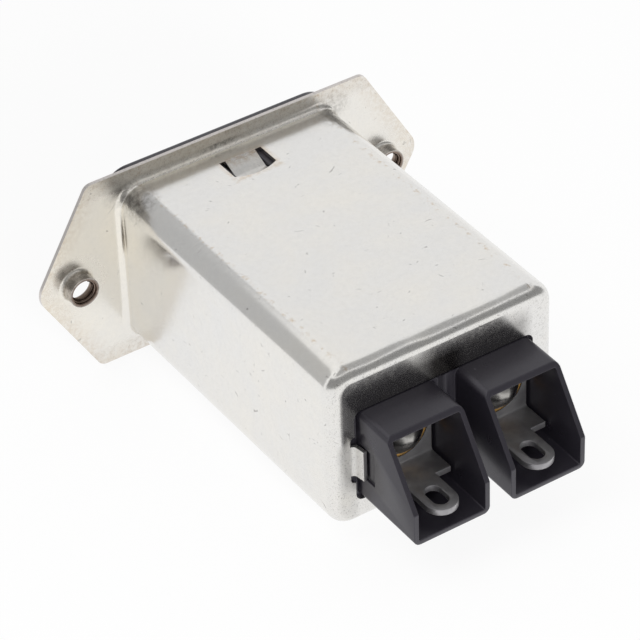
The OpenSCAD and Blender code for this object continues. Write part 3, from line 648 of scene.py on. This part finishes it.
def dress(obj, material):
    """Gives a whole object one material."""
    obj.data.materials.clear()
    obj.data.materials.append(material)


def link_mesh(name, mesh):
    """Makes an object of a finished bmesh and puts it in the scene."""
    data = bpy.data.meshes.new(name)
    mesh.to_mesh(data)
    mesh.free()
    obj = bpy.data.objects.new(name, data)
    bpy.context.scene.collection.objects.link(obj)
    return obj


def add_piece(name, mesh, material):
    """Makes a piece of a finished bmesh, which rides on the inlet's one body."""
    piece = link_mesh(name, mesh)
    piece.data.shade_smooth()
    dress(piece, material)
    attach(piece, "root")
    return piece


def rounded_copy(name, source, radius, segments, material):
    """Stands for a solid: a merged copy of it with its flat faces joined and its sharp edges rounded."""
    mesh = bmesh.new()
    mesh.from_mesh(frame["nodes"][source].data)
    bmesh.ops.remove_doubles(mesh, verts=mesh.verts, dist=MERGE)
    bmesh.ops.dissolve_limit(mesh, angle_limit=FLAT_ANGLE, verts=mesh.verts, edges=mesh.edges)
    piece = add_piece(name, mesh, material)
    edges = piece.modifiers.new("Rounded edges", "BEVEL")
    edges.limit_method = "ANGLE"
    edges.angle_limit = SHARP_ANGLE
    edges.width = radius
    edges.segments = segments
    edges.profile = 0.5
    edges.use_clamp_overlap = False
    edges.harden_normals = True
    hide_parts(source)


def thread(shape, bore_r):
    """Ridge of a screw thread inside a bore along Y: a triangle spun round the axis as it moves along it."""
    half = THREAD_HALF * shape.thread_pitch
    root = bore_r + THREAD_ROOT
    corners = [(root, 0, 0), (bore_r - shape.thread_depth, half, 0), (root, 2 * half, 0)]
    mesh = bmesh.new()
    profile = mesh.faces.new([mesh.verts.new(c) for c in corners])
    turns = (shape.thread_length - 2 * half) / shape.thread_pitch
    steps = round(turns * shape.thread_steps)
    bmesh.ops.spin(
        mesh, geom=[profile, *profile.edges, *profile.verts], cent=(0, 0, 0), axis=(0, 1, 0),
        dvec=(0, turns * shape.thread_pitch / steps, 0), angle=turns * math.tau, steps=steps)
    bmesh.ops.remove_doubles(mesh, verts=mesh.verts, dist=MERGE)
    bmesh.ops.recalc_face_normals(mesh, faces=mesh.faces)
    return mesh


def spun(section, foot):
    """Solid of an outline of radii and heights, spun round an axis along Y through a foot point."""
    mesh = bmesh.new()
    verts = [mesh.verts.new((foot.x + r, foot.y + h, foot.z)) for r, h in section]
    edges = [mesh.edges.new(pair) for pair in zip(verts, verts[1:])]
    bmesh.ops.spin(
        mesh, geom=verts + edges, cent=foot, axis=(0, 1, 0), angle=math.tau, steps=SPIN_STEPS,
        use_merge=True)
    bmesh.ops.remove_doubles(mesh, verts=mesh.verts, dist=MERGE)
    bmesh.ops.recalc_face_normals(mesh, faces=mesh.faces)
    return mesh


class INLET_OT_plated_can(Operator):
    """Plates the drawn can"""

    bl_idname = "inlet.plated_can"
    bl_label = "Plated can"

    def execute(self, context):
        dress(frame["nodes"]["filter_can"], plated_steel(context.scene.inlet_finish))
        return {"FINISHED"}


class INLET_OT_screw_threads(Operator):
    """Cuts the screw threads in the two collars"""

    bl_idname = "inlet.screw_threads"
    bl_label = "Screw threads"

    def execute(self, context):
        shape = context.scene.inlet_shape
        steel = bpy.data.materials["nickel_plated_steel"]
        for side, sign in SIDES.items():
            mesh = thread(shape, SCREWS["hole_r_mm"] * MM)
            bmesh.ops.translate(mesh, verts=mesh.verts, vec=(sign * HOLE_X * MM, shape.thread_start, 0))
            add_piece(side + "_side_thread", mesh, steel)
        return {"FINISHED"}


class INLET_OT_socket_moulding(Operator):
    """Moulds the socket insert with rounded edges"""

    bl_idname = "inlet.socket_moulding"
    bl_label = "Socket moulding"

    def execute(self, context):
        shape = context.scene.inlet_shape
        plastic = black_plastic(context.scene.inlet_finish)
        rounded_copy(
            "socket_moulding", "inlet_body", shape.bezel_round, shape.round_segments, plastic)
        return {"FINISHED"}


class INLET_OT_terminal_hoods(Operator):
    """Moulds the block with its two hoods with rounded edges"""

    bl_idname = "inlet.terminal_hoods"
    bl_label = "Terminal hoods"

    def execute(self, context):
        shape = context.scene.inlet_shape
        plastic = bpy.data.materials["moulded_polyamide"]
        rounded_copy(
            "terminal_hoods", "terminal_block", shape.hood_round, shape.round_segments, plastic)
        return {"FINISHED"}


class INLET_OT_solder_lugs(Operator):
    """Stamps the two solder lugs with softened edges"""

    bl_idname = "inlet.solder_lugs"
    bl_label = "Solder lugs"

    def execute(self, context):
        shape = context.scene.inlet_shape
        tin = tinned_brass(context.scene.inlet_finish)
        for side in SIDES:
            rounded_copy(
                side + "_solder_lug", side + "_lug", shape.lug_round, shape.round_segments, tin)
        return {"FINISHED"}


class INLET_OT_solder_joints(Operator):
    """Flows the solder over the posts, with flux round it"""

    bl_idname = "inlet.solder_joints"
    bl_label = "Solder joints"

    def execute(self, context):
        finish = context.scene.inlet_finish
        shape = context.scene.inlet_shape
        # Soft solder, flowed and left to cool: a bright mirror with fine ripples
        solder = bright_metal("flowed_solder", finish.solder, 0.22, 0.9)
        resin = flux_resin(finish)
        for side in SIDES:
            low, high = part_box(side + "_solder")
            foot = Vector(((low.x + high.x) / 2, low.y, (low.z + high.z) / 2))
            foot_r = (high.x - low.x) / 2
            rise = [(foot_r * across, (high.y - low.y) * up) for across, up in SOLDER_RISE]
            joint = add_piece(side + "_solder_joint", spun(rise, foot), solder)
            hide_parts(side + "_solder")
            inner = FLUX_INNER * foot_r
            top = shape.flux_height
            bead = [(inner, 0), (foot_r + shape.flux_width, 0), (foot_r, top), (inner, top), (inner, 0)]
            add_piece(side + "_flux", spun(bead, foot), resin)
        return {"FINISHED"}


class INLET_OT_contacts(Operator):
    """Plates the pins, posts and the earth strap"""

    bl_idname = "inlet.contacts"
    bl_label = "Contacts"

    def execute(self, context):
        # Brass with bright nickel plating: a smooth, faintly yellow mirror
        plating = bright_metal("nickel_plated_brass", context.scene.inlet_finish.contact, 0.16, 2.0)
        for name in ("line_pin", "neutral_pin", "earth_pin", "earth_strap", "line_post", "neutral_post"):
            dress(frame["nodes"][name], plating)
        return {"FINISHED"}


class INLET_OT_filter_parts(Operator):
    """Finishes the parts of the filter inside the can"""

    bl_idname = "inlet.filter_parts"
    bl_label = "Filter parts"

    def execute(self, context):
        finish = context.scene.inlet_finish
        # Sintered ferrite is dark and matt, and enamelled copper shines through its lacquer
        ferrite = coated("sintered_ferrite", finish.ferrite, 0.7, 0.3)
        copper = coated("enamelled_copper", finish.copper, 0.28, 1.5, metallic=1.0)
        # Calendered pressboard is matt and fibrous, and a moulded polyester case has a low gloss
        pressboard = coated("calendered_pressboard", finish.pressboard, 0.85, 0.6)
        case = coated("moulded_polyester_case", finish.case, 0.35, 1.0)
        # Dipped lacquers are glossy and slightly uneven, and extruded sheaths are smooth
        disc_coat = coated("dipped_blue_lacquer", finish.blue_lacquer, 0.25, 0.8)
        resistor_coat = coated("dipped_buff_lacquer", finish.buff_lacquer, 0.3, 0.8)
        brown = coated("brown_wire_sheath", finish.brown_sheath, 0.4, 0.5)
        blue = coated("blue_wire_sheath", finish.blue_sheath, 0.4, 0.5)
        coats = {
            "choke_core": ferrite, "line_winding": copper, "neutral_winding": copper, "x_capacitor": case,
            "line_y_capacitor": disc_coat, "neutral_y_capacitor": disc_coat, "bleed_resistor": resistor_coat,
            "line_feed_wire": brown, "line_out_wire": brown, "neutral_feed_wire": blue,
            "neutral_out_wire": blue, "insulating_sleeve": pressboard}
        for name, material in coats.items():
            dress(frame["nodes"][name], material)
        return {"FINISHED"}


def seen_ray(tree):
    """Socket that is 1 for what is seen, straight or in a mirror or glass, and 0 for other light."""
    path = node(tree, "ShaderNodeLightPath").outputs
    seen = path["Is Camera Ray"]
    for kind in ("Is Glossy Ray", "Is Transmission Ray"):
        seen = node(tree, "ShaderNodeMath", {0: seen, 1: path[kind]}, operation="MAXIMUM").outputs[0]
    return seen


def pale_floor(stage):
    """Matt white card."""
    # To the eye and in mirrors it is nearly white with a soft shadow, and other light finds it pale grey
    material, tree = bare_material("pale_floor")
    matt = node(tree, "ShaderNodeBsdfDiffuse", {"Color": rgba([FLOOR_ALBEDO] * 3)})
    shaded = node(tree, "ShaderNodeBsdfDiffuse", {"Color": rgba([stage.floor_shade] * 3)})
    glow = node(tree, "ShaderNodeEmission", {"Strength": stage.background - stage.floor_shade})
    shown = node(tree, "ShaderNodeAddShader", {0: shaded.outputs[0], 1: glow.outputs[0]})
    mix = node(tree, "ShaderNodeMixShader", {0: seen_ray(tree), 1: matt.outputs[0], 2: shown.outputs[0]})
    node(tree, "ShaderNodeOutputMaterial", {"Surface": mix.outputs[0]})
    return material


def studio_world(stage):
    """White surroundings for eye and mirror, and softer light from all round for matt surfaces."""
    world = bpy.data.worlds.new("studio")
    world.use_nodes = True
    tree = world.node_tree
    tree.nodes.clear()
    strength = node(
        tree, "ShaderNodeMapRange",
        {"Value": seen_ray(tree), "To Min": stage.ambient, "To Max": stage.background})
    sky = node(
        tree, "ShaderNodeBackground",
        {"Color": rgba([1] * 3), "Strength": strength.outputs["Result"]})
    node(tree, "ShaderNodeOutputWorld", {"Surface": sky.outputs[0]})
    bpy.context.scene.world = world


def toward(azimuth, elevation):
    """Unit vector to a point of the surroundings; azimuth 0 lies at -Y and 90 degrees at +X."""
    flat = math.cos(elevation)
    return Vector((math.sin(azimuth) * flat, -math.cos(azimuth) * flat, math.sin(elevation)))


def facing(position, target, roll=0.0):
    """Matrix of a lamp or camera at a position that looks at a target."""
    turn = (target - position).to_track_quat("-Z", "Y").to_matrix().to_4x4()
    return Matrix.Translation(position) @ turn @ Matrix.Rotation(roll, 4, "Z")


def grey_screen(name, azimuths, elevations, distance, brightness, target):
    """Part of a sphere round the target that draws a darker line along bright metal, as a flag does."""
    material, tree = bare_material(name)
    glow = node(tree, "ShaderNodeEmission", {"Color": rgba([brightness] * 3), "Strength": 1})
    node(tree, "ShaderNodeOutputMaterial", {"Surface": glow.outputs[0]})
    low, high = (math.radians(value) for value in elevations)
    first, last = (math.radians(value) for value in azimuths)
    mesh = bmesh.new()
    foot = mesh.verts.new(target + distance * toward(first, low))
    side = toward(first + math.pi / 2, 0)
    bmesh.ops.spin(mesh, geom=[foot], cent=target, axis=-side, angle=high - low, steps=SCREEN_STEPS)
    bmesh.ops.spin(
        mesh, geom=mesh.verts[:] + mesh.edges[:], cent=target, axis=(0, 0, 1), angle=last - first,
        steps=SCREEN_STEPS)
    screen = link_mesh(name, mesh)
    dress(screen, material)
    screen.visible_camera = False
    screen.visible_diffuse = False
    screen.visible_shadow = False


def soft_lamp(name, azimuth, elevation, size, power, target):
    """Round area lamp at a direction in degrees, turned to the target, that mirrors don't show."""
    lamp = bpy.data.lights.new(name, "AREA")
    lamp.shape = "DISK"
    lamp.size = size
    lamp.energy = power
    obj = bpy.data.objects.new(name, lamp)
    obj.matrix_world = facing(
        target + LAMP_DISTANCE * toward(math.radians(azimuth), math.radians(elevation)), target)
    obj.visible_glossy = False
    bpy.context.scene.collection.objects.link(obj)


class INLET_OT_stage(Operator):
    """Sets the floor, the surroundings, the screens, the lamps and the camera"""

    bl_idname = "inlet.stage"
    bl_label = "Stage"

    def execute(self, context):
        scene = context.scene
        stage = scene.inlet_stage
        target = Vector(stage.target)
        mesh = bmesh.new()
        bmesh.ops.create_circle(mesh, cap_ends=True, radius=FLOOR_RADIUS, segments=FLOOR_SIDES)
        bmesh.ops.translate(mesh, verts=mesh.verts, vec=(0, 0, cad_box[0].z - FLOOR_GAP))
        floor = link_mesh("floor", mesh)
        dress(floor, pale_floor(stage))
        studio_world(stage)
        for name, numbers in SCREENS.items():
            grey_screen(name, *numbers, target)
        soft_lamp("key", *LAMPS["key"], stage.key_power, target)
        soft_lamp("fill", *LAMPS["fill"], stage.fill_power, target)
        camera = bpy.data.objects.new("camera", bpy.data.cameras.new("camera"))
        camera.data.sensor_width = SENSOR_WIDTH
        camera.data.lens = stage.lens
        camera.data.clip_start, camera.data.clip_end = CLIP
        camera.matrix_world = facing(
            target + stage.distance * toward(stage.azimuth, stage.elevation), target, stage.roll)
        scene.collection.objects.link(camera)
        scene.camera = camera
        scene.view_settings.view_transform = "Standard"
        return {"FINISHED"}


STEPS = (
    INLET_OT_stage, INLET_OT_plated_can, INLET_OT_screw_threads, INLET_OT_socket_moulding,
    INLET_OT_terminal_hoods, INLET_OT_solder_lugs, INLET_OT_solder_joints, INLET_OT_contacts,
    INLET_OT_filter_parts)
GROUPS = {"inlet_shape": InletShape, "inlet_finish": InletFinish, "inlet_stage": InletStage}


class INLET_PT_panel(Panel):
    """Lists the steps that finish the inlet"""

    bl_idname = "INLET_PT_panel"
    bl_label = "Power inlet"
    bl_space_type = "VIEW_3D"
    bl_region_type = "UI"
    bl_category = "Power inlet"

    def draw(self, context):
        for step in STEPS:
            self.layout.operator(step.bl_idname)


def register():
    for cls in (*GROUPS.values(), *STEPS, INLET_PT_panel):
        bpy.utils.register_class(cls)
    for name, group in GROUPS.items():
        setattr(bpy.types.Scene, name, PointerProperty(type=group))


def unregister():
    for name in GROUPS:
        delattr(bpy.types.Scene, name)
    for cls in reversed((*GROUPS.values(), *STEPS, INLET_PT_panel)):
        bpy.utils.unregister_class(cls)


def main():
    register()
    bpy.ops.inlet.stage()
    bpy.ops.inlet.plated_can()
    bpy.ops.inlet.screw_threads()
    bpy.ops.inlet.socket_moulding()
    bpy.ops.inlet.terminal_hoods()
    bpy.ops.inlet.solder_lugs()
    bpy.ops.inlet.solder_joints()
    bpy.ops.inlet.contacts()
    bpy.ops.inlet.filter_parts()


if __name__ == "__main__":
    main()
